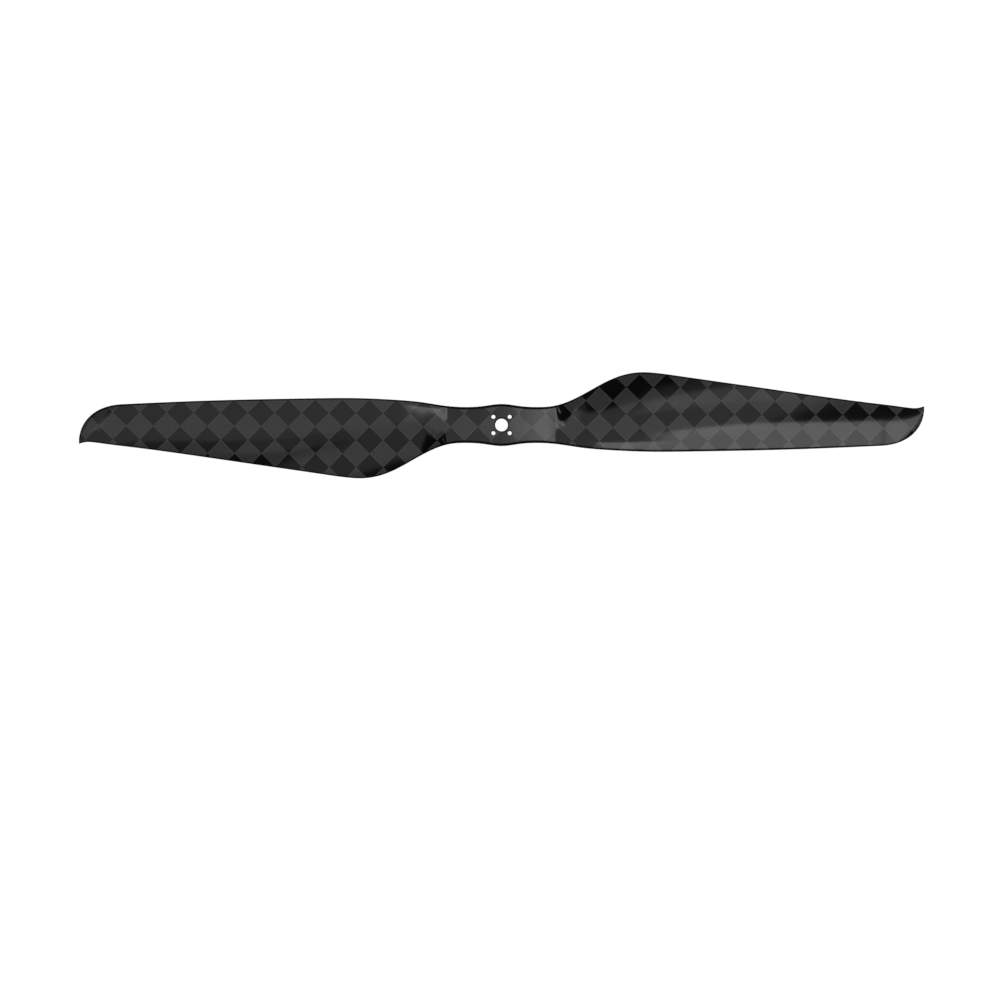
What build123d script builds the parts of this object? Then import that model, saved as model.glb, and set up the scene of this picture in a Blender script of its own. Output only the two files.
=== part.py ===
from build123d import *
import math
import os

# A two-blade carbon propeller for a multirotor, moulded in one piece.
# Millimetres. The Z axis is the shaft: Z points the way the propeller pushes,
# and z = 0 is the hub face that sits on the motor. The right blade runs along
# +X and the left blade is the same blade turned half a turn about Z. Seen from
# above the propeller turns clockwise, so the right blade's leading edge is on
# its -Y side and the wide trailing edge is on its +Y side.

# Overall size
TIP_RADIUS = 330.0
HUB_THICKNESS = 8.0
HUB_MIDDLE = HUB_THICKNESS / 2

# Motor interface
BORE_RADIUS = 5.0
BOLT_CIRCLE_RADIUS = 9.0
BOLT_HOLE_RADIUS = 1.6
BOLT_COUNT = 4
FIRST_BOLT_ANGLE = 45

# Laminate thicknesses, and the glue line between neighbouring pieces
SKIN = 0.5
SPAR_CAP = 0.6
DOUBLER = 0.9
GLUE = 0.03

# Where the inner pieces end, as distances from the shaft
DOUBLER_END = 28.0
DOUBLER_SHOULDER = 20.0
DOUBLER_WIDTH = 22.0
SCARF_RADIUS = 37.0
SCARF_ANGLE = 50.0
CORE_START = 28.0
SPAR_END = 278.0
CORE_END = 280.0
TIP_FILLER_START = 280.5

# The spar bends from the hub's middle to this share of the chord behind the
# leading edge, and the core draws back from the edge bands as the blade thins
SPAR_PLACE = 0.34
SPAR_BEND_START = 30.0
SPAR_BEND_END = 90.0
HUB_MARGIN = 0.05
BLADE_MARGIN = 2.5
MARGIN_START = 44.0
MARGIN_END = 84.0

# The rounded tip starts here, and the last stretch is edge band all through
TIP_START = 295.0
TIP_LENGTH = 35.2
TIP_SWEEP = 30.0
TIP_ROUNDNESS = 2.28
TIP_BAND = 0.9
TIP_DROOP = 2.0

# The hub is moulded this much too thick and then machined flat
MACHINING = 0.3
MACHINED_RADIUS = 20.0
MACHINING_END = 32.0
CUTTER_HEIGHT = 4.0
CUTTER_WIDTH = 60.0
DRILL_OVERRUN = 1.0

# One blade section, as control points from the front edge of its skin to the
# back edge: how far along, how much of the thickness, how much of the camber.
ALONG = (0.0, 0.06, 0.27, 0.55, 0.80, 1.0)
FULLNESS = (0.0, 0.82, 1.48, 1.02, 0.43, 0.0)
CAMBER = (0.0, 0.41, 1.23, 1.38, 0.72, 0.0)
ROUND = 0.5523  # control point distance that makes a quarter of an ellipse
HALVINGS = 40


def spline_through(*points):
    """Return the cubic spline through (radius, value) points as a function.

    It leaves the first point level, and is free to keep its slope at the last.
    Outside its points it holds the end values.
    """
    radii = [point[0] for point in points]
    values = [point[1] for point in points]
    last = len(points) - 1
    gaps = [radii[i + 1] - radii[i] for i in range(last)]
    rises = [(values[i + 1] - values[i]) / gaps[i] for i in range(last)]
    # Forward sweep of the three-term equations for the slope at each point
    factors = [0.0]
    slopes = [0.0]
    for i in range(1, last):
        before = 1 / gaps[i - 1]
        after = 1 / gaps[i]
        pivot = 2 * (before + after) - before * factors[i - 1]
        factors.append(after / pivot)
        pull = 3 * (rises[i - 1] * before + rises[i] * after)
        slopes.append((pull - before * slopes[i - 1]) / pivot)
    slopes.append((3 * rises[-1] - slopes[-1]) / (2 - factors[-1]))
    for i in range(last - 1, 0, -1):
        slopes[i] -= factors[i] * slopes[i + 1]

    def value_at(radius):
        radius = min(max(radius, radii[0]), radii[-1])
        i = min(sum(1 for r in radii[1:] if r <= radius), last - 1)
        u = (radius - radii[i]) / gaps[i]
        start = values[i] * (1 + 2 * u) * (1 - u) ** 2
        end = values[i + 1] * u * u * (3 - 2 * u)
        leaving = slopes[i] * gaps[i] * u * (1 - u) ** 2
        arriving = slopes[i + 1] * gaps[i] * u * u * (u - 1)
        return start + end + leaving + arriving

    return value_at


# Plan outline: distance from the X axis to the leading and trailing edges
leading_line = spline_through(
    (0, 16.4), (15, 14.7), (28, 14.0), (43, 14.9), (62, 17.7), (85, 19.7),
    (112, 20.85), (150, 20.7), (200, 19.8), (250, 18.25), (290, 16.5), (330, 14.6),
)
trailing_edge_line = spline_through(
    (0, 16.4), (15, 14.7), (28, 14.0), (40, 14.8), (53, 18.8), (67, 25.9),
    (81, 33.65), (95, 39.3), (109, 41.5), (123, 40.7), (140, 38.35),
    (200, 29.65), (260, 21.0), (290, 17.1), (308, 14.9), (319, 13.45),
    (325, 13.35), (330, 14.7),
)

# Twist in degrees, and the thicknesses of the section and of its two edges
pitch_angle = spline_through(
    (42, 0), (46, 4.5), (51, 10.5), (60, 15.2), (75, 18.4), (92, 18.6),
    (120, 16.6), (165, 12.4), (248, 8.3), (330, 6.0),
)
blade_thickness = spline_through(
    (42, 8.0), (52, 7.5), (62, 7.1), (75, 6.6), (100, 6.0), (130, 5.2),
    (165, 4.4), (210, 3.5), (250, 2.9), (300, 2.1), (330, 1.3),
)
leading_thickness = spline_through(
    (42, 8.0), (47, 6.7), (54, 4.7), (64, 3.4), (76, 2.8), (90, 2.5),
    (120, 2.2), (200, 1.9), (290, 1.4), (330, 1.1),
)
trailing_thickness = spline_through(
    (42, 8.0), (48, 6.4), (56, 3.8), (67, 2.0), (80, 1.6), (120, 1.3),
    (200, 1.25), (290, 1.15), (330, 1.1),
)

# Camber as a share of the skins' width, and how far the blade's middle surface
# lies below the hub's where it passes over the X axis
camber_share = spline_through(
    (34, 0), (60, 0.02), (90, 0.042), (150, 0.045), (250, 0.04), (330, 0.02),
)
blade_drop = spline_through((42, 0), (51, 0.6), (62, 1.1), (75, 1.2), (330, 1.2))

# Widths of the edge bands and of the spar caps
edge_band_width = spline_through((20, 2.0), (45, 1.6), (75, 1.2), (120, 1.1), (330, 1.1))
spar_width = spline_through((34, 23.0), (60, 19.0), (100, 15.0), (284, 6.0))


def smooth_rise(radius, start, end):
    """0 up to the start, 1 from the end on, and a level-ended rise between them."""
    share = min(max((radius - start) / (end - start), 0.0), 1.0)
    return share * share * (3 - 2 * share)


def tip_share(radius):
    """How far into the rounded tip a radius lies: 0 at its start, nearly 1 at the end."""
    return max(0.0, (radius - TIP_START) / TIP_LENGTH)


def leading_edge_line(radius):
    """Distance from the X axis to the leading edge, with the rounded tip."""
    fall = 1 - (1 - tip_share(radius) ** TIP_ROUNDNESS) ** (1 / TIP_ROUNDNESS)
    return leading_line(radius) - TIP_SWEEP * fall


def machining_allowance(radius):
    """Extra moulding height on each hub face, fading out towards the blade."""
    return MACHINING * (1 - smooth_rise(radius, MACHINED_RADIUS, MACHINING_END))


def middle_height(radius, y):
    """Height of the twisted middle surface of the right blade."""
    over_axis = HUB_MIDDLE - blade_drop(radius) - TIP_DROOP * tip_share(radius) ** 2
    return over_axis - y * math.tan(math.radians(pitch_angle(radius)))


def skin_surface(x, side, depth=0.0):
    """Control points of one skin's curve across the blade at x, from -Y to +Y.

    side is +1 for the upper skin and -1 for the lower one, and depth is how
    far the curve lies inside the moulded surface.
    """
    radius = abs(x)
    front = -leading_edge_line(radius) + edge_band_width(radius)
    back = trailing_edge_line(radius) - edge_band_width(radius)
    front_half = leading_thickness(radius) / 2
    back_half = trailing_thickness(radius) / 2
    camber = camber_share(radius) * (back - front)
    extra = machining_allowance(radius) if depth == 0 else 0.0
    points = []
    for along, fullness, bend in zip(ALONG, FULLNESS, CAMBER):
        y = front + (back - front) * along
        edge_half = front_half + (back_half - front_half) * along
        swell = (blade_thickness(radius) / 2 - edge_half) * fullness
        half = edge_half + max(swell, 0.0) + extra - depth
        points.append((y, middle_height(radius, y) + side * half + camber * bend))
    return points if x >= 0 else opposite(points)


def opposite(points):
    """The same curve on the left blade, still running from -Y to +Y."""
    return [(-y, z) for y, z in reversed(points)]


def point_on(curve, share):
    """The point part of the way along a Bezier curve's control points."""
    while len(curve) > 1:
        curve = [
            (a[0] + (b[0] - a[0]) * share, a[1] + (b[1] - a[1]) * share)
            for a, b in zip(curve, curve[1:])
        ]
    return curve[0]


def first_stretch(curve, share):
    """Control points of a Bezier curve's stretch from its start to a share of it."""
    return [point_on(curve[: count + 1], share) for count in range(len(curve))]


def share_at(curve, y):
    """How far along a Bezier curve it reaches y, found by halving."""
    low = 0.0
    high = 1.0
    for _ in range(HALVINGS):
        middle = (low + high) / 2
        if point_on(curve, middle)[0] < y:
            low = middle
        else:
            high = middle
    return high


def stretch_between(curve, start_y, end_y):
    """Control points of the stretch of a curve between two distances from the X axis."""
    start = share_at(curve, start_y)
    end = share_at(curve, end_y)
    reversed_tail = first_stretch(first_stretch(curve, end)[::-1], 1 - start / end)
    return reversed_tail[::-1]


def section(x, top, bottom):
    """A closed section at x between two curves that run from -Y to +Y."""
    with BuildSketch(Plane.YZ.offset(x)) as drawn:
        with BuildLine():
            Bezier(*top)
            Line(top[-1], bottom[-1])
            Bezier(*bottom[::-1])
            Line(bottom[0], top[0])
        make_face()
    return drawn.sketch


def edge_section(x, direction, leading):
    """The D-shaped section of an edge band at x; direction is -1 on the left blade."""
    radius = abs(x)
    top_curve = skin_surface(radius, 1)
    bottom_curve = skin_surface(radius, -1)
    if leading:
        outer_y = -leading_edge_line(radius)
    else:
        outer_y = trailing_edge_line(radius)
        top_curve = top_curve[::-1]
        bottom_curve = bottom_curve[::-1]
    top = top_curve[0]
    bottom = bottom_curve[0]
    nose = (outer_y, (top[1] + bottom[1]) / 2)
    reach = (outer_y - top[0]) * ROUND
    rise = (top[1] - bottom[1]) / 2 * (1 - ROUND)
    upper_lean = reach * slope_between(top_curve[0], top_curve[1])
    lower_lean = reach * slope_between(bottom_curve[0], bottom_curve[1])
    top_control = (top[0] + reach, top[1] + upper_lean)
    bottom_control = (bottom[0] + reach, bottom[1] + lower_lean)
    high_control = (outer_y, top[1] - rise)
    low_control = (outer_y, bottom[1] + rise)
    upper_nose = [top, top_control, high_control, nose]
    lower_nose = [nose, low_control, bottom_control, bottom]
    if direction < 0:
        upper_nose = [(-y, z) for y, z in upper_nose]
        lower_nose = [(-y, z) for y, z in lower_nose]
    with BuildSketch(Plane.YZ.offset(x)) as drawn:
        with BuildLine():
            Bezier(*upper_nose)
            Bezier(*lower_nose)
            Line(lower_nose[-1], upper_nose[0])
        make_face()
    return drawn.sketch


def slope_between(first, second):
    return (second[1] - first[1]) / (second[0] - first[0])


def tip_section(x, direction):
    """The whole blade section at x, closed by its rounded noses."""
    middle = section(x, skin_surface(x, 1), skin_surface(x, -1))
    return middle + edge_section(x, direction, True) + edge_section(x, direction, False)


def skin_section(x, side):
    """One laminate skin's section at x."""
    outer = skin_surface(x, side)
    inner = skin_surface(x, side, SKIN)
    return section(x, outer, inner) if side > 0 else section(x, inner, outer)


def inner_margin(radius):
    """How far the core stays back from the edge bands."""
    return HUB_MARGIN + BLADE_MARGIN * smooth_rise(radius, MARGIN_START, MARGIN_END)


def core_section(x):
    """The space between the two skins at x, less the glue lines."""
    depth = SKIN + GLUE
    top = skin_surface(x, 1, depth)
    bottom = skin_surface(x, -1, depth)
    margin = inner_margin(abs(x))
    start = top[0][0] + margin
    end = top[-1][0] - margin
    return section(x, stretch_between(top, start, end), stretch_between(bottom, start, end))


def spar_centre(radius):
    """Distance of the spar's centre line from the X axis on the right blade."""
    front = leading_edge_line(radius)
    chord = front + trailing_edge_line(radius)
    bend = smooth_rise(radius, SPAR_BEND_START, SPAR_BEND_END)
    return bend * (SPAR_PLACE * chord - front)


def spar_section(x, side, above, below, clearance=0.0):
    """A strip under one skin at x, between two depths from the moulded surface."""
    radius = abs(x)
    half_width = spar_width(radius) / 2 + clearance
    centre = spar_centre(radius) if x >= 0 else -spar_centre(radius)
    shallow = skin_surface(x, side, above)
    deep = skin_surface(x, side, below)
    shallow = stretch_between(shallow, centre - half_width, centre + half_width)
    deep = stretch_between(deep, centre - half_width, centre + half_width)
    return section(x, shallow, deep) if side > 0 else section(x, deep, shallow)


# Distances from the shaft at which sections are drawn
HUB_STATIONS = [0, 8, 16, 22, 28, 34, 42]
ROOT_STATIONS = [44.5, 47.5, 51, 56, 62, 68, 75, 82.5]
BLADE_STATIONS = [90.5, 96, 101.5, 111, 119, 130, 145, 165, 195, 230, 262]
BAND_START = TIP_RADIUS - TIP_BAND
TIP_COUNT = 9
TIP_FILLER_COUNT = 5
CLOSEST = 1.0


def tip_station(step):
    """Stations that close up towards the tip, where the outline turns quickly."""
    reach = BAND_START - CORE_END
    return CORE_END + reach * math.sin(math.pi / 2 * step / TIP_COUNT)


TIP_STATIONS = [tip_station(step) for step in range(TIP_COUNT + 1)]
TIP_FILLER_END = TIP_STATIONS[TIP_FILLER_COUNT]
RIGHT_STATIONS = HUB_STATIONS + ROOT_STATIONS + BLADE_STATIONS + TIP_STATIONS
LEFT_STATIONS = [-radius for radius in RIGHT_STATIONS[::-1]]
ALL_STATIONS = LEFT_STATIONS + RIGHT_STATIONS[1:]


def stations_between(start, end):
    """The stations inside a stretch of the propeller, with its two ends."""
    inside = [x for x in ALL_STATIONS if start + CLOSEST < x < end - CLOSEST]
    return [start] + inside + [end]


def on_blade(direction, start, end):
    """Stations of a stretch of one blade; direction is 1 on the right, -1 on the left."""
    low, high = sorted((direction * start, direction * end))
    return stations_between(low, high)


def hub_hole_tools():
    """The shaft bore and the bolt holes, as solids to cut with."""
    with BuildPart() as tools:
        with BuildSketch(Plane.XY.offset(-DRILL_OVERRUN)):
            Circle(BORE_RADIUS)
            with PolarLocations(BOLT_CIRCLE_RADIUS, BOLT_COUNT, start_angle=FIRST_BOLT_ANGLE):
                Circle(BOLT_HOLE_RADIUS)
        extrude(amount=HUB_THICKNESS + 2 * DRILL_OVERRUN)
    return tools.part


def machining_waste():
    """What is machined off the two hub faces, as solids to cut with."""
    with BuildPart() as waste:
        for bottom in (-CUTTER_HEIGHT, HUB_THICKNESS):
            with BuildSketch(Plane.XY.offset(bottom)):
                Rectangle(2 * MACHINING_END, CUTTER_WIDTH)
            extrude(amount=CUTTER_HEIGHT)
    return waste.part


def doubler_outline(clearance=0.0):
    """The doubler's plan shape, a strip with pointed ends."""
    half = DOUBLER_WIDTH / 2
    right_side = [(DOUBLER_SHOULDER, half), (DOUBLER_END, 0), (DOUBLER_SHOULDER, -half)]
    left_side = [(-x, -y) for x, y in right_side]
    with BuildSketch() as outline:
        with BuildLine():
            Polyline(*right_side, *left_side, close=True)
        make_face()
        if clearance:
            offset(amount=clearance)
    return outline.sketch


def doubler_bottom(side, clearance=0.0):
    """Height of the lower face of a doubler, or of its pocket."""
    depth = SKIN + GLUE + SPAR_CAP + GLUE
    if side > 0:
        return HUB_THICKNESS - depth - DOUBLER - clearance
    return depth - clearance


def scarf_plane(direction, clearance=0.0):
    """The sloping joint between the hub block and a blade's foam, facing the tip."""
    lean = math.radians(SCARF_ANGLE)
    return Plane(
        origin=(direction * (SCARF_RADIUS + clearance), 0, HUB_MIDDLE),
        x_dir=(0, 1, 0),
        z_dir=(direction * math.sin(lean), 0, math.cos(lean)),
    )


hub_holes = hub_hole_tools()
hub_waste = machining_waste()
os.makedirs("parts", exist_ok=True)

# Skins: two laminates that run from tip to tip through the hub
with BuildPart() as upper_skin:
    loft([skin_section(x, 1) for x in ALL_STATIONS], ruled=True)
    add(hub_waste, mode=Mode.SUBTRACT)
    add(hub_holes, mode=Mode.SUBTRACT)
upper_skin.part.label = "upper_skin"
export_step(upper_skin.part, "parts/upper_skin.step")

with BuildPart() as lower_skin:
    loft([skin_section(x, -1) for x in ALL_STATIONS], ruled=True)
    add(hub_waste, mode=Mode.SUBTRACT)
    add(hub_holes, mode=Mode.SUBTRACT)
lower_skin.part.label = "lower_skin"
export_step(lower_skin.part, "parts/lower_skin.step")

# Edge bands: a rounded bead of tow and resin along each edge of each blade
for name, direction, leading in (
    ("leading_edge_right", 1, True),
    ("leading_edge_left", -1, True),
    ("trailing_edge_right", 1, False),
    ("trailing_edge_left", -1, False),
):
    with BuildPart() as edge_band:
        band_stations = on_blade(direction, 0, BAND_START)
        loft([edge_section(x, direction, leading) for x in band_stations], ruled=True)
        if leading:
            end_stations = sorted((direction * BAND_START, direction * TIP_RADIUS))
            loft([tip_section(x, direction) for x in end_stations], ruled=True)
        add(hub_waste, mode=Mode.SUBTRACT)
    edge_band.part.label = name
    export_step(edge_band.part, f"parts/{name}.step")

# Spar caps: strips of straight fibre under each skin, nearly the whole span
cap_top = SKIN + GLUE
cap_bottom = cap_top + SPAR_CAP
cap_stations = stations_between(-SPAR_END, SPAR_END)
for name, side in (("upper_spar_cap", 1), ("lower_spar_cap", -1)):
    with BuildPart() as spar_cap:
        loft([spar_section(x, side, cap_top, cap_bottom) for x in cap_stations], ruled=True)
        add(hub_holes, mode=Mode.SUBTRACT)
    spar_cap.part.label = name
    export_step(spar_cap.part, f"parts/{name}.step")

# Doublers: stiff plates that spread the bolts' load, inside the spar caps
for name, side in (("upper_hub_doubler", 1), ("lower_hub_doubler", -1)):
    with BuildPart() as hub_doubler:
        with BuildSketch(Plane.XY.offset(doubler_bottom(side))):
            add(doubler_outline())
        extrude(amount=DOUBLER)
        add(hub_holes, mode=Mode.SUBTRACT)
    hub_doubler.part.label = name
    export_step(hub_doubler.part, f"parts/{name}.step")

# Hub block: solid laminate between the skins, rebated for caps and doublers.
# It is drawn past its two sloping ends and then cut there.
with BuildPart() as hub_block:
    block_stations = stations_between(-ROOT_STATIONS[0], ROOT_STATIONS[0])
    loft([core_section(x) for x in block_stations], ruled=True)
    for side in (1, -1):
        slots = [spar_section(x, side, 0, cap_bottom + GLUE, GLUE) for x in block_stations]
        loft(slots, ruled=True, mode=Mode.SUBTRACT)
        with BuildSketch(Plane.XY.offset(doubler_bottom(side, GLUE))):
            add(doubler_outline(GLUE))
        extrude(amount=DOUBLER + 2 * GLUE, mode=Mode.SUBTRACT)
    for direction in (1, -1):
        split(bisect_by=scarf_plane(direction), keep=Keep.BOTTOM)
    add(hub_holes, mode=Mode.SUBTRACT)
hub_block.part.label = "hub_block"
export_step(hub_block.part, "parts/hub_block.step")

# Foam cores and tip fillers: what holds the skins apart along each blade
for name, direction in (("right", 1), ("left", -1)):
    with BuildPart() as foam_core:
        core_stations = on_blade(direction, CORE_START, CORE_END)
        loft([core_section(x) for x in core_stations], ruled=True)
        for side in (1, -1):
            slots = [spar_section(x, side, 0, cap_bottom + GLUE, GLUE) for x in core_stations]
            loft(slots, ruled=True, mode=Mode.SUBTRACT)
        split(bisect_by=scarf_plane(direction, 2 * GLUE), keep=Keep.TOP)
    foam_core.part.label = f"foam_core_{name}"
    export_step(foam_core.part, f"parts/foam_core_{name}.step")

    with BuildPart() as tip_filler:
        filler_stations = on_blade(direction, TIP_FILLER_START, TIP_FILLER_END)
        loft([core_section(x) for x in filler_stations], ruled=True)
    tip_filler.part.label = f"tip_filler_{name}"
    export_step(tip_filler.part, f"parts/tip_filler_{name}.step")
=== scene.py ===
import math

import bpy
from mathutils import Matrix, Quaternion, Vector
from mathutils.geometry import delaunay_2d_cdt


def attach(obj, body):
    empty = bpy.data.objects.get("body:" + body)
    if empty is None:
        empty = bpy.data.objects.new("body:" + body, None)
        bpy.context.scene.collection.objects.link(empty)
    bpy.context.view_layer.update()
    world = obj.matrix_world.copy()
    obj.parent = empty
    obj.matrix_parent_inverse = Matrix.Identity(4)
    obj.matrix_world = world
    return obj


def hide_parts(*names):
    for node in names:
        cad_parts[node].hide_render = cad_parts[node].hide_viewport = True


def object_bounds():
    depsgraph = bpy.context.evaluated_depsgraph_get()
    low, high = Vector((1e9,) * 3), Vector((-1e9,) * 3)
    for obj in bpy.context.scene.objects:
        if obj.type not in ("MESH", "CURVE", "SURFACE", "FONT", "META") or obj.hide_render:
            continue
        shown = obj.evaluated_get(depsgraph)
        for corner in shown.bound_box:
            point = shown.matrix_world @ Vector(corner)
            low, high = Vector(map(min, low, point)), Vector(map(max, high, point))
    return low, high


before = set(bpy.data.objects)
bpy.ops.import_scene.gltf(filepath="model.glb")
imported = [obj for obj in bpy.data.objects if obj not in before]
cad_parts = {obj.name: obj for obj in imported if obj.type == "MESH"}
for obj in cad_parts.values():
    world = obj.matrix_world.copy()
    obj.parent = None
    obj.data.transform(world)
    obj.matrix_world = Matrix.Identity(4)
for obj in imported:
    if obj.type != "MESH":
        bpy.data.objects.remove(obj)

cad_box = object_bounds()

# ---------------------------------------------------------------------------
# Dimensions, in millimetres. Everything is made in millimetres in the shared
# frame and turned into metres when its mesh is stored.
# ---------------------------------------------------------------------------
MM = 0.001

# Overall size and laminate thickness
TIP_RADIUS = 330.0
HUB_THICKNESS = 8.0
HUB_MIDDLE = HUB_THICKNESS / 2
SKIN = 0.5

# Motor interface, with the width of each hole's chamfer
BORE_RADIUS = 5.0
BORE_CHAMFER = 0.8
BOLT_CIRCLE_RADIUS = 9.0
BOLT_HOLE_RADIUS = 1.6
BOLT_HOLE_CHAMFER = 0.6
CHAMFER_SLOPE = 0.6  # a chamfer's depth for its width

# The rounded tip starts here, and the last stretch is edge band all through
TIP_START = 295.0
TIP_LENGTH = 35.2
TIP_SWEEP = 30.0
TIP_ROUNDNESS = 2.28
TIP_BAND = 0.9
TIP_DROOP = 2.0
BAND_START = TIP_RADIUS - TIP_BAND

# The hub is moulded this much too thick and then machined flat
MACHINING = 0.3
MACHINED_RADIUS = 20.0
MACHINING_END = 32.0

# One blade section, as control points from the front edge of its skin to the
# back edge: how far along, how much of the thickness, how much of the camber.
ALONG = (0.0, 0.06, 0.27, 0.55, 0.80, 1.0)
FULLNESS = (0.0, 0.82, 1.48, 1.02, 0.43, 0.0)
CAMBER = (0.0, 0.41, 1.23, 1.38, 0.72, 0.0)
ROUND = 0.5523  # control point distance that makes a quarter of an ellipse


def spline_through(*points):
    """Return the cubic spline through (radius, value) points as a function.

    It leaves the first point level, and is free to keep its slope at the last.
    Outside its points it holds the end values.
    """
    radii = [point[0] for point in points]
    values = [point[1] for point in points]
    last = len(points) - 1
    gaps = [radii[i + 1] - radii[i] for i in range(last)]
    rises = [(values[i + 1] - values[i]) / gaps[i] for i in range(last)]
    # Forward sweep of the three-term equations for the slope at each point
    factors = [0.0]
    slopes = [0.0]
    for i in range(1, last):
        before = 1 / gaps[i - 1]
        after = 1 / gaps[i]
        pivot = 2 * (before + after) - before * factors[i - 1]
        factors.append(after / pivot)
        pull = 3 * (rises[i - 1] * before + rises[i] * after)
        slopes.append((pull - before * slopes[i - 1]) / pivot)
    slopes.append((3 * rises[-1] - slopes[-1]) / (2 - factors[-1]))
    for i in range(last - 1, 0, -1):
        slopes[i] -= factors[i] * slopes[i + 1]

    def value_at(radius):
        radius = min(max(radius, radii[0]), radii[-1])
        i = min(sum(1 for r in radii[1:] if r <= radius), last - 1)
        u = (radius - radii[i]) / gaps[i]
        start = values[i] * (1 + 2 * u) * (1 - u) ** 2
        end = values[i + 1] * u * u * (3 - 2 * u)
        leaving = slopes[i] * gaps[i] * u * (1 - u) ** 2
        arriving = slopes[i + 1] * gaps[i] * u * u * (u - 1)
        return start + end + leaving + arriving

    return value_at


# Plan outline: distance from the X axis to the leading and trailing edges
leading_line = spline_through(
    (0, 16.4), (15, 14.7), (28, 14.0), (43, 14.9), (62, 17.7), (85, 19.7),
    (112, 20.85), (150, 20.7), (200, 19.8), (250, 18.25), (290, 16.5), (330, 14.6),
)
trailing_edge_line = spline_through(
    (0, 16.4), (15, 14.7), (28, 14.0), (40, 14.8), (53, 18.8), (67, 25.9),
    (81, 33.65), (95, 39.3), (109, 41.5), (123, 40.7), (140, 38.35),
    (200, 29.65), (260, 21.0), (290, 17.1), (308, 14.9), (319, 13.45),
    (325, 13.35), (330, 14.7),
)

# Twist in degrees, and the thicknesses of the section and of its two edges
pitch_angle = spline_through(
    (42, 0), (46, 4.5), (51, 10.5), (60, 15.2), (75, 18.4), (92, 18.6),
    (120, 16.6), (165, 12.4), (248, 8.3), (330, 6.0),
)
blade_thickness = spline_through(
    (42, 8.0), (52, 7.5), (62, 7.1), (75, 6.6), (100, 6.0), (130, 5.2),
    (165, 4.4), (210, 3.5), (250, 2.9), (300, 2.1), (330, 1.3),
)
leading_thickness = spline_through(
    (42, 8.0), (47, 6.7), (54, 4.7), (64, 3.4), (76, 2.8), (90, 2.5),
    (120, 2.2), (200, 1.9), (290, 1.4), (330, 1.1),
)
trailing_thickness = spline_through(
    (42, 8.0), (48, 6.4), (56, 3.8), (67, 2.0), (80, 1.6), (120, 1.3),
    (200, 1.25), (290, 1.15), (330, 1.1),
)

# Camber as a share of the skins' width, and how far the blade's middle surface
# lies below the hub's where it passes over the X axis
camber_share = spline_through(
    (34, 0), (60, 0.02), (90, 0.042), (150, 0.045), (250, 0.04), (330, 0.02),
)
blade_drop = spline_through((42, 0), (51, 0.6), (62, 1.1), (75, 1.2), (330, 1.2))

edge_band_width = spline_through((20, 2.0), (45, 1.6), (75, 1.2), (120, 1.1), (330, 1.1))


def tip_share(radius):
    """How far into the rounded tip a radius lies, from 0 to nearly 1."""
    return max(0.0, (radius - TIP_START) / TIP_LENGTH)


def leading_edge_line(radius):
    """Distance from the X axis to the leading edge, with the rounded tip."""
    fall = 1 - (1 - tip_share(radius) ** TIP_ROUNDNESS) ** (1 / TIP_ROUNDNESS)
    return leading_line(radius) - TIP_SWEEP * fall


def middle_height(radius):
    """Height of the blade's middle surface where it passes over the X axis."""
    return HUB_MIDDLE - blade_drop(radius) - TIP_DROOP * tip_share(radius) ** 2


def machining_allowance(radius):
    """Extra moulding height on each hub face, fading out towards the blade."""
    share = (MACHINING_END - radius) / (MACHINING_END - MACHINED_RADIUS)
    share = min(max(share, 0.0), 1.0)
    return MACHINING * share * share * (3 - 2 * share)


def skin_surface(radius, side, depth=0.0):
    """Control points of one skin's curve across the right blade, as (y, z)."""
    front = -leading_edge_line(radius) + edge_band_width(radius)
    back = trailing_edge_line(radius) - edge_band_width(radius)
    front_half = leading_thickness(radius) / 2
    back_half = trailing_thickness(radius) / 2
    thickness_half = blade_thickness(radius) / 2
    camber = camber_share(radius) * (back - front)
    extra = machining_allowance(radius) if depth == 0 else 0.0
    twist = math.tan(math.radians(pitch_angle(radius)))
    middle = middle_height(radius)
    points = []
    for along, fullness, bend in zip(ALONG, FULLNESS, CAMBER):
        y = front + (back - front) * along
        edge_half = front_half + (back_half - front_half) * along
        swell = max((thickness_half - edge_half) * fullness, 0.0)
        half = edge_half + swell + extra - depth
        points.append((y, middle - y * twist + side * half + camber * bend))
    return points


def bernstein(degree, count):
    """Weights of a Bezier curve's control points at count + 1 even steps."""
    rows = []
    for step in range(count + 1):
        t = step / count
        rows.append([
            math.comb(degree, i) * t**i * (1 - t) ** (degree - i)
            for i in range(degree + 1)
        ])
    return rows


def curve_points(control, weights):
    """Points along a Bezier curve, from its control points."""
    return [
        (
            sum(w * p[0] for w, p in zip(row, control)),
            sum(w * p[1] for w, p in zip(row, control)),
        )
        for row in weights
    ]


ACROSS = 48      # steps across a skin
ROUND_STEPS = 8  # steps round each half of an edge band's nose
CUBIC = 3
skin_weights = bernstein(len(ALONG) - 1, ACROSS)
nose_weights = bernstein(CUBIC, ROUND_STEPS)


def machined(z):
    """A height on the hub, cut back to its two flat faces."""
    return min(max(z, 0.0), HUB_THICKNESS)


def skin_row(x, side, depth=0.0):
    """Points across one skin at x, from -Y to +Y, as (x, y, z).

    The side is 1 for the upper skin and -1 for the lower one, and the depth is
    how far the points lie under the outer surface.
    """
    points = curve_points(skin_surface(abs(x), side, depth), skin_weights)
    if x < 0:
        points = [(-y, z) for y, z in reversed(points)]
    if abs(x) < MACHINING_END:
        points = [(y, machined(z)) for y, z in points]
    return [(x, y, z) for y, z in points]


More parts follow.
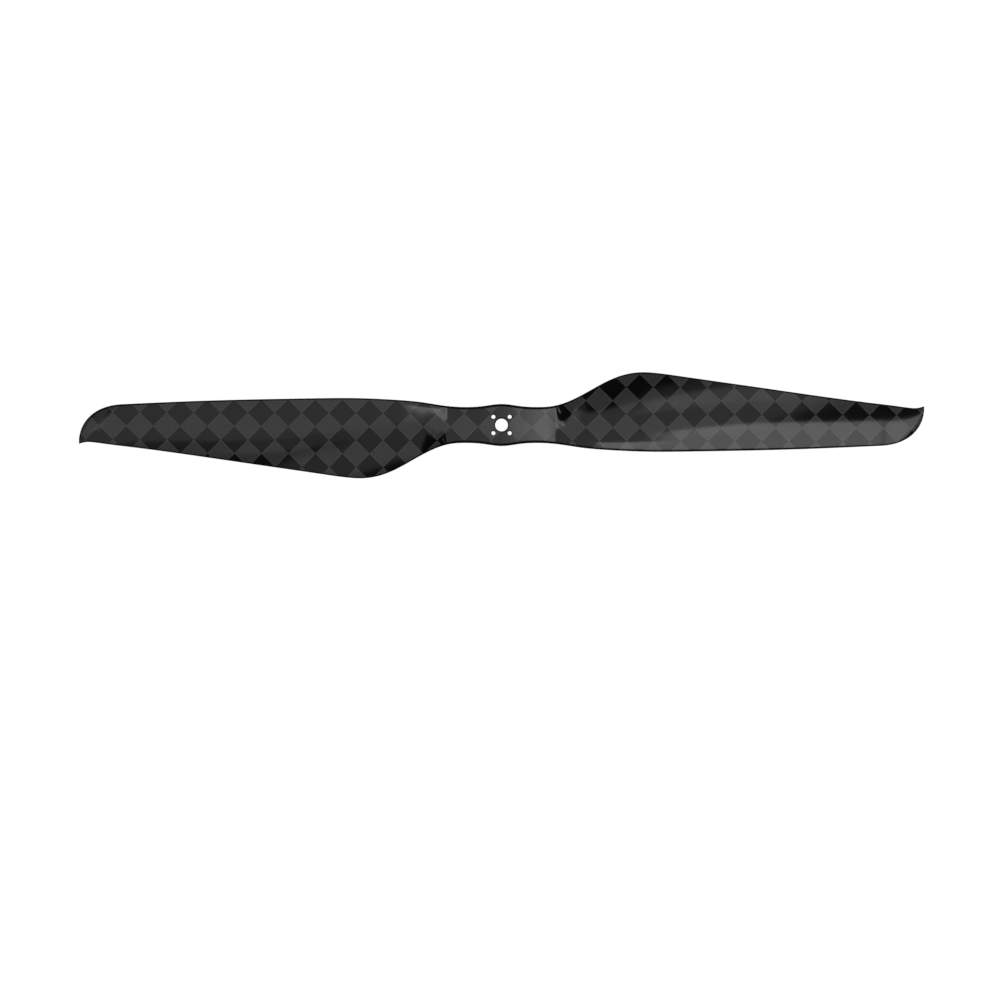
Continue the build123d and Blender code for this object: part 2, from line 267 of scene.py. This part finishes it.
def nose_row(x, direction, leading):
    """Points round an edge band's nose at x, from the top skin to the bottom one.

    The direction is 1 on the right blade and -1 on the left one.
    """
    radius = abs(x)
    top_curve = skin_surface(radius, 1)
    bottom_curve = skin_surface(radius, -1)
    if leading:
        outer_y = -leading_edge_line(radius)
    else:
        outer_y = trailing_edge_line(radius)
        top_curve = top_curve[::-1]
        bottom_curve = bottom_curve[::-1]
    top = top_curve[0]
    bottom = bottom_curve[0]
    nose = (outer_y, (top[1] + bottom[1]) / 2)
    reach = (outer_y - top[0]) * ROUND
    rise = (top[1] - bottom[1]) / 2 * (1 - ROUND)
    top_control = (top[0] + reach, top[1] + reach * slope(top_curve))
    bottom_control = (bottom[0] + reach, bottom[1] + reach * slope(bottom_curve))
    upper = [top, top_control, (outer_y, top[1] - rise), nose]
    lower = [nose, (outer_y, bottom[1] + rise), bottom_control, bottom]
    points = curve_points(upper, nose_weights) + curve_points(lower, nose_weights)[1:]
    if radius < MACHINING_END:
        points = [(y, machined(z)) for y, z in points]
    return [(x, direction * y, z) for y, z in points]


def slope(curve):
    """Slope of a section's surface at the first of its control points."""
    return (curve[1][1] - curve[0][1]) / (curve[1][0] - curve[0][0])


# ---------------------------------------------------------------------------
# Stations along the blade
# ---------------------------------------------------------------------------
PATCH_HALF = 22.0   # the drilled, flat middle of the hub is meshed apart
PAD_END = 40.0
PAD_STEP = 1.0
CREASE_END = 60.0   # the surface turns quickest between the pad and here
CREASE_STEP = 0.5
ROOT_END = 130.0
ROOT_STEP = 1.4
BLADE_END = 284.0
BLADE_STEP = 2.2
TIP_STEP_COUNT = 36


def even_steps(start, end, step):
    """Places from start to end, about one step apart, with both ends."""
    count = max(1, round((end - start) / step))
    return [start + (end - start) * i / count for i in range(count + 1)]


def tip_steps(start, end, count):
    """Stations that close up towards the tip, where the outline turns quickly."""
    reach = end - start
    return [start + reach * math.sin(math.pi / 2 * i / count) for i in range(count + 1)]


HUB_STATIONS = even_steps(0, PATCH_HALF, PAD_STEP)
OUTER_STATIONS = (
    even_steps(PATCH_HALF, PAD_END, PAD_STEP)
    + even_steps(PAD_END, CREASE_END, CREASE_STEP)[1:]
    + even_steps(CREASE_END, ROOT_END, ROOT_STEP)[1:]
    + even_steps(ROOT_END, BLADE_END, BLADE_STEP)[1:]
    + tip_steps(BLADE_END, BAND_START, TIP_STEP_COUNT)[1:]
)
BAND_STATIONS = HUB_STATIONS + OUTER_STATIONS[1:]


# ---------------------------------------------------------------------------
# Mesh building
# ---------------------------------------------------------------------------
SHARP_DEGREES = 25  # faces that meet more steeply than this keep a crisp edge


class Builder:
    """Collects points and faces; points at the same place are made once."""

    def __init__(self):
        self.points = []
        self.faces = []
        self.slots = []
        self.lookup = {}

    def point(self, place):
        key = tuple(round(c, 4) for c in place)
        if key not in self.lookup:
            self.lookup[key] = len(self.points)
            self.points.append(place)
        return self.lookup[key]

    def face(self, corners, slot=0):
        """A face through numbered points, unless they have run together."""
        corners = [c for i, c in enumerate(corners) if c != corners[i - 1]]
        if len(corners) > 2:
            self.faces.append(corners)
            self.slots.append(slot)

    def shell(self, rings):
        """A closed shell through rings of places, with its faces turned outwards."""
        self.lookup = {}
        start = len(self.faces)
        rows = [[self.point(place) for place in ring] for ring in rings]
        for first, second in zip(rows, rows[1:]):
            for i in range(len(first)):
                self.face([first[i - 1], second[i - 1], second[i], first[i]])
        self.face(rows[0])
        self.face(rows[-1][::-1])
        if self.volume(start) < 0:
            self.faces[start:] = [corners[::-1] for corners in self.faces[start:]]

    def volume(self, start):
        """Six times what the faces from start on enclose, below zero if they face inwards."""
        total = 0.0
        for corners in self.faces[start:]:
            apex, *others = (Vector(self.points[c]) for c in corners)
            for a, b in zip(others, others[1:]):
                total += apex.dot(a.cross(b))
        return total

    def make(self, name, materials):
        """Store the mesh, in metres, as a new object in the scene."""
        mesh = bpy.data.meshes.new(name)
        mesh.from_pydata([Vector(p) * MM for p in self.points], [], self.faces)
        for material in materials:
            mesh.materials.append(material)
        for polygon, slot in zip(mesh.polygons, self.slots):
            polygon.material_index = slot
            polygon.use_smooth = True
        mesh.validate()
        mesh.update()
        mesh.set_sharp_from_angle(angle=math.radians(SHARP_DEGREES))
        piece = bpy.data.objects.new(name, mesh)
        bpy.context.scene.collection.objects.link(piece)
        return piece


def circle_loop(centre, radius, count):
    """Points round a circle, as (x, y)."""
    return [
        (
            centre[0] + radius * math.cos(2 * math.pi * i / count),
            centre[1] + radius * math.sin(2 * math.pi * i / count),
        )
        for i in range(count)
    ]


# Each hole's centre, radius, chamfer and number of points round it
BOLT_OFFSET = BOLT_CIRCLE_RADIUS * math.sqrt(0.5)
HOLES = [((0.0, 0.0), BORE_RADIUS, BORE_CHAMFER, 96)] + [
    ((sx * BOLT_OFFSET, sy * BOLT_OFFSET), BOLT_HOLE_RADIUS, BOLT_HOLE_CHAMFER, 48)
    for sx in (1, -1) for sy in (1, -1)
]
GRID_STEP = 2.0       # between the points that fill the flat patch
GRID_HALF_WIDTH = 12.0
HOLE_CLEARANCE = 1.2  # from a hole to the nearest of them
MERGE_DISTANCE = 1e-5
TOLERANCE = 0.001


def hub_patch(side):
    """Points and triangles, seen from above, of the drilled middle of the hub."""
    rows = [skin_row(x, side) for x in even_steps(-PATCH_HALF, PATCH_HALF, PAD_STEP)]
    low_edge = [row[0][:2] for row in rows]
    high_edge = [row[-1][:2] for row in rows]
    right = [p[:2] for p in rows[-1]]
    left = [p[:2] for p in rows[0]]
    outline = low_edge[:-1] + right[:-1] + high_edge[:0:-1] + left[:0:-1]
    loops = [outline]
    for centre, radius, chamfer, count in HOLES:
        loops.append(circle_loop(centre, radius + chamfer, count))
    places = []
    edges = []
    for loop in loops:
        start = len(places)
        places += [Vector(p) for p in loop]
        edges += [(start + i, start + (i + 1) % len(loop)) for i in range(len(loop))]
    for x in even_steps(-PATCH_HALF + GRID_STEP, PATCH_HALF - GRID_STEP, GRID_STEP):
        for y in even_steps(-GRID_HALF_WIDTH, GRID_HALF_WIDTH, GRID_STEP):
            if all(math.dist((x, y), c) > r + HOLE_CLEARANCE for c, r, _, _ in HOLES):
                places.append(Vector((x, y)))
    points, _, triangles, *_ = delaunay_2d_cdt(places, edges, [], 0, MERGE_DISTANCE)
    kept = []
    for triangle in triangles:
        corners = [points[i] for i in triangle]
        if not in_a_hole(corners) and inside_outline(sum(corners, Vector((0, 0))) / 3, outline):
            kept.append(triangle)
    return points, kept


def in_a_hole(corners):
    """Whether a triangle spans a hole, with all its corners on the hole's rim."""
    for centre, radius, chamfer, _ in HOLES:
        reach = radius + chamfer + TOLERANCE
        if all(math.dist(corner, centre) < reach for corner in corners):
            return True
    return False


def inside_outline(place, outline):
    """Whether a place lies inside an outline, by the edges crossed on the way out."""
    inside = False
    for (x1, y1), (x2, y2) in zip(outline, outline[1:] + outline[:1]):
        if (y1 > place.y) != (y2 > place.y):
            if place.x < x1 + (place.y - y1) / (y2 - y1) * (x2 - x1):
                inside = not inside
    return inside


# Material slots of a skin
SURFACE = 0
CUT_EDGE = 1


def make_skin(name, side, materials):
    """One laminate skin: its outer sheet, its inner sheet and the walls between."""
    builder = Builder()
    outer_faces = []
    twin = {}  # from each point of the outer sheet to the one behind it

    def pair(outer, inner):
        """Make a point of the outer sheet and the one behind it."""
        number = builder.point(outer)
        twin.setdefault(number, builder.point(inner))
        return number

    def sheet_row(x):
        return [pair(o, i) for o, i in zip(skin_row(x, side), skin_row(x, side, SKIN))]

    # Both blades, from the hub's flat patch to the tip
    for direction in (1, -1):
        rows = [sheet_row(direction * r) for r in OUTER_STATIONS]
        if direction < 0:
            rows.reverse()
        for first, second in zip(rows, rows[1:]):
            for i in range(ACROSS):
                corners = (first[i], second[i], second[i + 1], first[i + 1])
                outer_faces.append((corners, SURFACE))

    # The flat patch between them, and the chamfer of each hole
    face_z = HUB_THICKNESS if side > 0 else 0.0
    inner_z = face_z - side * SKIN
    points, triangles = hub_patch(side)
    numbers = [pair((p.x, p.y, face_z), (p.x, p.y, inner_z)) for p in points]
    for triangle in triangles:
        first, second, third = (points[i] for i in triangle)
        a, b, c = (numbers[i] for i in triangle)
        anticlockwise = (second - first).cross(third - first) > 0
        outer_faces.append(((a, b, c) if anticlockwise else (a, c, b), SURFACE))
    for centre, radius, chamfer, count in HOLES:
        rim = circle_loop(centre, radius + chamfer, count)
        wall = circle_loop(centre, radius, count)
        cut_z = face_z - side * chamfer * CHAMFER_SLOPE
        wide = [pair((x, y, face_z), (x, y, inner_z)) for x, y in rim]
        narrow = [pair((x, y, cut_z), (x, y, inner_z)) for x, y in wall]
        for i in range(count):
            j = (i + 1) % count
            outer_faces.append(((narrow[i], wide[i], wide[j], narrow[j]), CUT_EDGE))

    # Each outer face with the inner one behind it, and a wall wherever the sheet ends
    edges = {}
    for corners, slot in outer_faces:
        ordered = corners if side > 0 else corners[::-1]
        builder.face(list(ordered), slot)
        builder.face([twin[c] for c in reversed(ordered)], CUT_EDGE)
        edges.update(dict.fromkeys(zip(ordered, ordered[1:] + ordered[:1])))
    for a, b in edges:
        if (b, a) not in edges:
            builder.face([b, a, twin[a], twin[b]], CUT_EDGE)
    return builder.make(name, materials)


def make_edge_band(name, direction, leading, material):
    """The rounded band along one edge of one blade, closed on its inner side."""
    builder = Builder()
    builder.shell([nose_row(direction * radius, direction, leading) for radius in BAND_STATIONS])
    if leading:
        builder.shell(tip_cap_rings(direction))
    return builder.make(name, [material])


TIP_CAP_STEPS = 7
TIP_END_THICKNESS = 0.12  # what the very end keeps of the blade's thickness


def tip_cap_rings(direction):
    """The rounded end of the blade, all edge band, beyond where the skins stop."""
    rings = []
    for step in range(TIP_CAP_STEPS + 1):
        share = math.sin(math.pi / 2 * step / TIP_CAP_STEPS)
        radius = BAND_START + TIP_BAND * share
        x = direction * radius
        squeeze = max(math.sqrt(max(0.0, 1 - share * share)), TIP_END_THICKNESS)
        front = nose_row(x, direction, True)
        back = nose_row(x, direction, False)
        top = skin_row(x, 1)
        bottom = skin_row(x, -1)
        if direction < 0:
            top = top[::-1]
            bottom = bottom[::-1]
        ring = front[::-1] + top[1:] + back[1:] + bottom[-2:0:-1]
        middle = middle_height(radius)
        twist = math.tan(math.radians(pitch_angle(radius)))
        placed = []
        for px, py, pz in ring:
            centre_z = middle - direction * py * twist
            placed.append((px, py, centre_z + (pz - centre_z) * squeeze))
        rings.append(placed)
    return rings


# ---------------------------------------------------------------------------
# Materials
# ---------------------------------------------------------------------------
WEAVE_PERIOD = 21.09 * MM                # a check square's diagonal
WEAVE_CORNER = (2.5 * MM, -1.7 * MM)     # where four squares meet
WEAVE_TURN = math.radians(-0.2)
SEAM = (0.018, 0.05)                     # a seam's full and faded edge, in squares

# Noise cells per metre along X, Y and Z. A low number draws them out into streaks.
TOW_FIBRES = (60, 5200, 60)
TAPE_FIBRES = (25, 4200, 4200)
SANDING_SCRATCHES = (140, 6000, 6000)
PRESSED_GRAIN = (900, 900, 2500)
CHOPPED_FIBRES = (350, 1400, 1400)


class Nodes:
    """Short calls for building one node material."""

    def __init__(self, name):
        self.material = bpy.data.materials.new(name)
        self.material.use_nodes = True
        self.tree = self.material.node_tree
        self.shader = self.tree.nodes["Principled BSDF"]

    def add(self, kind, inputs=(), **settings):
        """A node with its settings and its inputs, each a value or a link."""
        node = self.tree.nodes.new(kind)
        for key, value in settings.items():
            setattr(node, key, value)
        for socket, value in dict(inputs).items():
            self.feed(node.inputs[socket], value)
        return node

    def feed(self, socket, value):
        if isinstance(value, bpy.types.NodeSocket):
            self.tree.links.new(value, socket)
        else:
            socket.default_value = value

    def math(self, operation, a, b=0.0, c=0.0):
        node = self.add("ShaderNodeMath", operation=operation)
        for socket, value in zip(node.inputs, (a, b, c)):
            self.feed(socket, value)
        return node.outputs[0]

    def mix(self, share, a, b):
        """Colour a where the share is 0 and colour b where it is 1."""
        node = self.add("ShaderNodeMix", data_type="RGBA")
        self.feed(node.inputs["Factor"], share)
        self.feed(node.inputs[6], a)
        self.feed(node.inputs[7], b)
        return node.outputs[2]

    def remap(self, value, low, high, to_low=0.0, to_high=1.0):
        """The value stretched from one range to another, and held at its ends."""
        node = self.add("ShaderNodeMapRange", clamp=True)
        for socket, number in zip(node.inputs, (value, low, high, to_low, to_high)):
            self.feed(socket, number)
        return node.outputs[0]

    def place(self):
        """The point's place in the shared frame, in metres."""
        return self.add("ShaderNodeTexCoord").outputs["Object"]

    def noise(self, vector, scale, detail=2.0, roughness=0.5):
        inputs = {"Vector": vector, "Scale": scale, "Detail": detail, "Roughness": roughness}
        return self.add("ShaderNodeTexNoise", inputs).outputs["Fac"]

    def stretched(self, vector, scales, turn=0.0):
        """A place scaled along X, Y and Z and turned about Z."""
        inputs = {"Vector": vector, "Scale": scales, "Rotation": (0, 0, turn)}
        return self.add("ShaderNodeMapping", inputs).outputs[0]

    def bands(self, vector, scale, direction, **inputs):
        """Even dark and light bands, one after another along X, Y or Z."""
        inputs = {"Vector": vector, "Scale": scale, **inputs}
        return self.add("ShaderNodeTexWave", inputs, bands_direction=direction).outputs["Fac"]

    def plies(self, vector, scale, distortion, detail_scale):
        """Level bands with slightly wavy edges, as stacked plies show where they're cut."""
        wave = {"Distortion": distortion, "Detail": 2.0, "Detail Scale": detail_scale}
        return self.bands(vector, scale, "Z", **wave)

    def bump(self, height, distance, strength=1.0):
        inputs = {"Height": height, "Distance": distance, "Strength": strength}
        return self.add("ShaderNodeBump", inputs).outputs[0]


def grey(value, blue=1.0):
    """A grey, with its blue part scaled."""
    return (value, value, value * blue, 1.0)


def spread_tow_carbon():
    """Wide flat tows woven square at 45 degrees to the blade, under clear resin."""
    n = Nodes("spread_tow_carbon")
    place = n.place()
    # Distances along the two tow directions, counted in squares
    cosine = math.cos(WEAVE_TURN)
    sine = math.sin(WEAVE_TURN)
    corner = n.add("ShaderNodeVectorMath", operation="SUBTRACT")
    n.feed(corner.inputs[0], place)
    n.feed(corner.inputs[1], (WEAVE_CORNER[0], WEAVE_CORNER[1], 0))
    counted = []
    for direction in ((cosine - sine, sine + cosine), (-cosine - sine, -sine + cosine)):
        dot = n.add("ShaderNodeVectorMath", operation="DOT_PRODUCT")
        n.feed(dot.inputs[0], corner.outputs[0])
        n.feed(dot.inputs[1], (direction[0] / WEAVE_PERIOD, direction[1] / WEAVE_PERIOD, 0))
        counted.append(dot.outputs["Value"])
    first, second = counted
    total = n.math("ADD", n.math("FLOOR", first), n.math("FLOOR", second))
    # The checker: 1 on the squares that get the lighter tone of painted fibre sheen, 0 on the others
    light = n.math("ABSOLUTE", n.math("MODULO", total, 2.0))

    # Straight fibres: fine streaks along each tow's own direction
    diagonal = math.radians(45) + WEAVE_TURN
    along_first = n.stretched(place, TOW_FIBRES, -diagonal)
    along_second = n.stretched(place, TOW_FIBRES, diagonal)
    streak_first = n.noise(along_first, 1.0, 3.0, 0.6)
    streak_second = n.noise(along_second, 1.0, 3.0, 0.6)
    streak = n.mix(light, streak_first, streak_second)

    # How far inside its square a point lies, for the seams between tows
    inner = []
    for value in counted:
        from_middle = n.math("SUBTRACT", n.math("FRACT", value), 0.5)
        inner.append(n.math("SUBTRACT", 0.5, n.math("ABSOLUTE", from_middle)))
    nearest = n.math("MINIMUM", inner[0], inner[1])
    seam = n.remap(nearest, *SEAM, 1.0, 0.0)

    # Tows in two tones, the lighter tone being the tows' fibre sheen painted into the colour, with
    # lighter seams and faint large clouds
    cloud = n.noise(place, 28.0, 2.0)
    # The lighter tows' colour is painted sheen: how brightly those tows catch the light along their
    # fibres
    painted_sheen_tone = n.mix(n.remap(streak, 0.3, 0.7), grey(0.047, 1.05), grey(0.068, 1.05))
    dark_tone = n.mix(n.remap(streak, 0.3, 0.7), grey(0.0008, 1.0), grey(0.0030, 1.05))
    tone = n.mix(light, dark_tone, painted_sheen_tone)
    # The seams are lightened as a painted highlight along the tow edges, strongest on the painted-sheen
    # squares
    seam_highlight_share = n.math("MULTIPLY", seam, n.remap(light, 0.0, 1.0, 0.04, 0.5))
    tone = n.mix(seam_highlight_share, tone, grey(0.12, 1.04))
    tone = n.mix(n.remap(cloud, 0.35, 0.75, 0.0, 0.12), tone, grey(0.0, 1.0))
    n.feed(n.shader.inputs["Base Color"], tone)

    # Satin tows under smooth clear resin, which follows its own slight ripple
    n.feed(n.shader.inputs["Roughness"], n.remap(streak, 0.2, 0.8, 0.46, 0.58))
    n.shader.inputs["Specular IOR Level"].default_value = 0.06
    n.shader.inputs["Coat Weight"].default_value = 1.0
    n.shader.inputs["Coat Roughness"].default_value = 0.11
    n.shader.inputs["Coat IOR"].default_value = 1.5
    height = n.math("ADD", n.math("MULTIPLY", streak, 0.25), n.math("MULTIPLY", seam, -0.5))
    n.feed(n.shader.inputs["Normal"], n.bump(height, 0.00006, 0.6))
    ripple = n.noise(place, 90.0, 1.0)
    n.feed(n.shader.inputs["Coat Normal"], n.bump(ripple, 0.00004, 0.5))
    return n.material


def edge_resin():
    """Black resin over a bundle of tow, sanded along the edge."""
    n = Nodes("edge_resin")
    place = n.place()
    scratches = n.noise(n.stretched(place, SANDING_SCRATCHES), 1.0, 3.0, 0.6)
    blotches = n.noise(place, 60.0, 3.0)
    n.feed(n.shader.inputs["Base Color"], n.mix(scratches, grey(0.0015), grey(0.006)))
    n.feed(n.shader.inputs["Roughness"], n.remap(blotches, 0.3, 0.7, 0.34, 0.5))
    n.shader.inputs["Specular IOR Level"].default_value = 0.1
    n.feed(n.shader.inputs["Normal"], n.bump(scratches, 0.00003, 0.5))
    return n.material


def cut_laminate():
    """A drilled or trimmed edge: thin plies, matte."""
    n = Nodes("cut_laminate")
    place = n.place()
    plies = n.plies(place, 1500.0, 1.5, 3.0)
    speckle = n.noise(place, 3000.0, 2.0)
    tone = n.mix(plies, grey(0.0015), grey(0.005))
    tone = n.mix(n.remap(speckle, 0.5, 0.8, 0, 0.5), tone, grey(0.01))
    n.feed(n.shader.inputs["Base Color"], tone)
    n.feed(n.shader.inputs["Roughness"], n.remap(speckle, 0.2, 0.8, 0.5, 0.75))
    n.shader.inputs["Specular IOR Level"].default_value = 0.08
    n.feed(n.shader.inputs["Normal"], n.bump(plies, 0.00004, 0.5))
    return n.material


def straight_fibre_carbon():
    """Carbon tape with all its fibres along the blade, with a woven peel-ply print."""
    n = Nodes("straight_fibre_carbon")
    place = n.place()
    fibres = n.noise(n.stretched(place, TAPE_FIBRES), 1.0, 4.0, 0.6)
    peel = n.math("MULTIPLY", n.bands(place, 420.0, "X"), n.bands(place, 420.0, "Y"))
    tone = n.mix(n.remap(fibres, 0.3, 0.7), grey(0.012, 1.05), grey(0.05, 1.05))
    n.feed(n.shader.inputs["Base Color"], tone)
    n.feed(n.shader.inputs["Roughness"], n.remap(fibres, 0.2, 0.8, 0.42, 0.62))
    height = n.math("ADD", fibres, n.math("MULTIPLY", peel, 0.8))
    n.feed(n.shader.inputs["Normal"], n.bump(height, 0.00005, 0.6))
    return n.material


def pressed_laminate():
    """Thick pressed plies: level lines on its sides, faint cloth on its faces."""
    n = Nodes("pressed_laminate")
    place = n.place()
    plies = n.plies(place, 800.0, 1.2, 2.0)
    grain = n.noise(n.stretched(place, PRESSED_GRAIN), 1.0, 3.0)
    tone = n.mix(plies, grey(0.008), grey(0.032))
    tone = n.mix(n.remap(grain, 0.4, 0.8, 0, 0.6), tone, grey(0.05))
    n.feed(n.shader.inputs["Base Color"], tone)
    n.feed(n.shader.inputs["Roughness"], n.remap(grain, 0.2, 0.8, 0.45, 0.7))
    n.feed(n.shader.inputs["Normal"], n.bump(grain, 0.00004, 0.5))
    return n.material


def core_foam():
    """Closed-cell foam, cut so that its cells are open at the surface."""
    n = Nodes("core_foam")
    place = n.place()
    cell_size = {"Vector": place, "Scale": 2600.0}
    cells = n.add("ShaderNodeTexVoronoi", cell_size, feature="DISTANCE_TO_EDGE")
    cell = n.remap(cells.outputs["Distance"], 0.0, 0.12)
    shade = n.noise(place, 40.0, 3.0)
    wall = n.mix(shade, (0.80, 0.72, 0.56, 1), (0.86, 0.80, 0.66, 1))
    # Each open cell is coloured darker towards its middle: painted shade in the hollow that the bump
    # makes there
    n.feed(n.shader.inputs["Base Color"], n.mix(cell, wall, (0.66, 0.57, 0.42, 1)))
    n.shader.inputs["Specular IOR Level"].default_value = 0.2
    n.feed(n.shader.inputs["Roughness"], n.remap(cell, 0, 1, 0.7, 0.95))
    n.feed(n.shader.inputs["Normal"], n.bump(n.math("SUBTRACT", 1.0, cell), 0.0001, 0.8))
    return n.material


def filled_resin():
    """Thickened resin with chopped fibre in it."""
    n = Nodes("filled_resin")
    place = n.place()
    along = n.stretched(place, CHOPPED_FIBRES, 0.5)
    fibres = n.add("ShaderNodeTexVoronoi", {"Vector": along, "Scale": 1.0})
    speckle = n.noise(place, 1800.0, 3.0)
    n.feed(n.shader.inputs["Base Color"], n.mix(fibres.outputs["Distance"], grey(0.07), grey(0.025)))
    n.feed(n.shader.inputs["Roughness"], n.remap(speckle, 0.2, 0.8, 0.35, 0.6))
    n.feed(n.shader.inputs["Normal"], n.bump(speckle, 0.00004, 0.4))
    return n.material


carbon = spread_tow_carbon()
edge = edge_resin()
cut = cut_laminate()
tape = straight_fibre_carbon()
laminate = pressed_laminate()
foam = core_foam()
resin = filled_resin()

# ---------------------------------------------------------------------------
# Pieces
# ---------------------------------------------------------------------------
# The skins and edge bands are made again, finer and with chamfered holes
for node, side in (("upper_skin", 1), ("lower_skin", -1)):
    skin = make_skin(node + "_laminate", side, [carbon, cut])
    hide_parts(node)
    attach(skin, "root")

for node, direction, leading in (
    ("leading_edge_right", 1, True),
    ("leading_edge_left", -1, True),
    ("trailing_edge_right", 1, False),
    ("trailing_edge_left", -1, False),
):
    band = make_edge_band(node + "_band", direction, leading, edge)
    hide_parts(node)
    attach(band, "root")

# The pieces inside keep their CAD shape
inner_materials = {
    "upper_spar_cap": tape,
    "lower_spar_cap": tape,
    "upper_hub_doubler": tape,
    "lower_hub_doubler": tape,
    "hub_block": laminate,
    "foam_core_right": foam,
    "foam_core_left": foam,
    "tip_filler_right": resin,
    "tip_filler_left": resin,
}
for node, material in inner_materials.items():
    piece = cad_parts[node]
    piece.data.materials.clear()
    piece.data.materials.append(material)

# ---------------------------------------------------------------------------
# Studio, in metres
# ---------------------------------------------------------------------------
FLOOR_GAP = 0.0005               # below the propeller's lowest point
FLOOR_HALF = 12.0
WORLD_GREY = 0.008
VIEW_WIDTH = 0.7801              # what the picture spans across
VIEW_DEPTH = 50.0
CAMERA_HEIGHT = 4.0
SENSOR_WIDTH = 36.0              # in millimetres
HUB_IN_VIEW = (0.0012, 0.0585)   # the hub's place from the picture's middle

# Flat panels that face down, which the clear resin reflects. Their edges and the
# gaps between them draw the photograph's light and black areas: a wide panel and
# two far ones for most of the left blade and the right one's trailing side, dim
# ones for the left blade's trailing side, and bright ones for the hub's right
# half and the right blade's leading side. The low one at each tip is for the
# rounded end, which droops and would reflect past the others.
# Name, middle, size along X and Y, radiance, turn in degrees
STUDIO_TURN = -11
PANELS = (
    ("wide_panel", (-0.114, 0.258, 1.0), (0.755, 1.75), 0.58, STUDIO_TURN),
    ("far_panel", (0.235, 0.97, 1.01), (0.24, 0.32), 0.3, STUDIO_TURN),
    ("far_top_panel", (0.17, 1.25, 1.0), (0.14, 0.26), 0.25, STUDIO_TURN),
    ("low_panel", (0.047, -1.151, 1.0), (0.53, 0.955), 0.43, STUDIO_TURN),
    ("low_middle_panel", (-0.216, -0.723, 1.0), (0.15, 0.215), 0.4, STUDIO_TURN),
    ("low_left_panel", (-0.486, -0.67, 1.0), (0.40, 0.215), 0.2, STUDIO_TURN),
    ("right_panel", (0.235, -0.24, 1.01), (0.43, 0.72), 2.0, 0),
    ("right_top_panel", (0.3375, 0.255, 1.01), (0.225, 0.27), 2.0, 0),
    ("right_tip_panel", (0.3985, -0.02, 0.3), (0.103, 0.26), 2.0, 0),
    ("left_tip_panel", (-0.428, 0, 0.3), (0.084, 0.2), 0.58, 0),
)
# Long upright panels on the four sides, for the edges: name, middle, length
WALLS = (
    ("side_panel_right", (2.5, 0, 0.7), 4.4),
    ("side_panel_left", (-2.5, 0, 0.7), 4.4),
    ("front_panel", (0, -2.2, 0.65), 5.0),
    ("back_panel", (0, 2.2, 0.65), 5.0),
)
WALL_HEIGHT = 0.6
WALL_RADIANCE = 0.6


def area_light(name, place, target, size, radiance, turn=0.0):
    """A flat soft light, with its strength given as the radiance of its face."""
    light = bpy.data.lights.new(name, "AREA")
    light.shape = "RECTANGLE"
    light.size, light.size_y = size
    light.energy = radiance * math.pi * size[0] * size[1]
    lamp = bpy.data.objects.new(name, light)
    lamp.location = place
    aim = Vector(target) - Vector(place)
    facing = aim.to_track_quat("-Z", "Y")
    lamp.rotation_euler = (Quaternion((0, 0, 1), math.radians(turn)) @ facing).to_euler()
    bpy.context.scene.collection.objects.link(lamp)


def make_floor():
    """A pale floor that glows evenly and isn't reflected, so it looks plain white."""
    mesh = bpy.data.meshes.new("floor")
    z = cad_box[0].z - FLOOR_GAP
    corners = [(sx * FLOOR_HALF, sy * FLOOR_HALF, z) for sx, sy in ((-1, -1), (1, -1), (1, 1), (-1, 1))]
    mesh.from_pydata(corners, [], [(0, 1, 2, 3)])
    n = Nodes("pale_floor")
    n.shader.inputs["Base Color"].default_value = (0.02, 0.02, 0.02, 1)
    n.shader.inputs["Roughness"].default_value = 0.9
    n.shader.inputs["Specular IOR Level"].default_value = 0.0
    n.shader.inputs["Emission Color"].default_value = (1, 1, 1, 1)
    n.shader.inputs["Emission Strength"].default_value = 1.0
    mesh.materials.append(n.material)
    floor = bpy.data.objects.new("floor", mesh)
    bpy.context.scene.collection.objects.link(floor)
    floor.visible_glossy = False


make_floor()
for name, place, size, radiance, turn in PANELS:
    area_light(name, place, (place[0], place[1], 0), size, radiance, turn)
for name, place, length in WALLS:
    area_light(name, place, (0, 0, 0), (length, WALL_HEIGHT), WALL_RADIANCE)

world = bpy.data.worlds.new("studio")
bpy.context.scene.world = world
world.use_nodes = True
background = world.node_tree.nodes["Background"]
background.inputs["Color"].default_value = grey(WORLD_GREY)
background.inputs["Strength"].default_value = 1.0
bpy.context.scene.view_settings.view_transform = "Standard"

camera_data = bpy.data.cameras.new("camera")
camera_data.sensor_width = SENSOR_WIDTH
camera_data.lens = SENSOR_WIDTH * (CAMERA_HEIGHT - HUB_MIDDLE * MM) / VIEW_WIDTH
camera_data.clip_end = VIEW_DEPTH
camera = bpy.data.objects.new("camera", camera_data)
camera.location = (-HUB_IN_VIEW[0], -HUB_IN_VIEW[1], CAMERA_HEIGHT)
bpy.context.scene.collection.objects.link(camera)
bpy.context.scene.camera = camera
